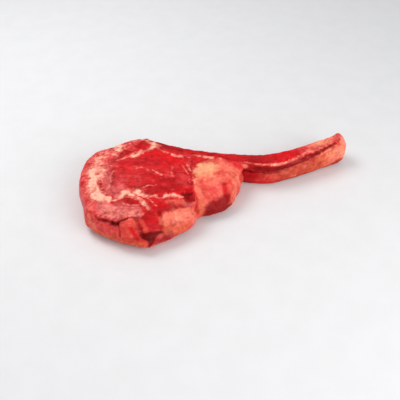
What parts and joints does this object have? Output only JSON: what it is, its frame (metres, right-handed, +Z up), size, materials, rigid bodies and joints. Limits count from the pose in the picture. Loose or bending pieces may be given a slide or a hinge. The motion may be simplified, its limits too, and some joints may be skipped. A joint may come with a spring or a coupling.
{
  "type": "raw tomahawk steak",
  "caption": "Thick raw bone-in rib eye steak lying flat, its long rib bone left on as a handle, with a strip of red meat along the rib and a lump of fat where rib and head meet.",
  "frame": {"origin": "on the surface it lies on, under the middle of the whole steak", "axes": "+X from the head of meat to the bare end of the rib, +Y to the far side that the rib lies on, +Z up"},
  "size_m": [0.3812, 0.1856, 0.0453],
  "materials": {
    "rib_eye": "raw beef, moist, bright red with pale fat seams and a pink and red mottled rim",
    "fat_lump": "moist fat, orange to coral pink, with raw meat low on its front",
    "rib_bone": "raw rib under a thin moist skin, coral orange with a dark red film of meat towards the head",
    "rib_meat": "raw beef, moist, deep red, with a pale pink edge of membrane"
  },
  "bodies": {
    "root": {"rib_eye": "rib_eye", "fat_lump": "fat_lump", "rib_bone": "rib_bone", "rib_meat": "rib_meat"}
  },
  "joints": []
}
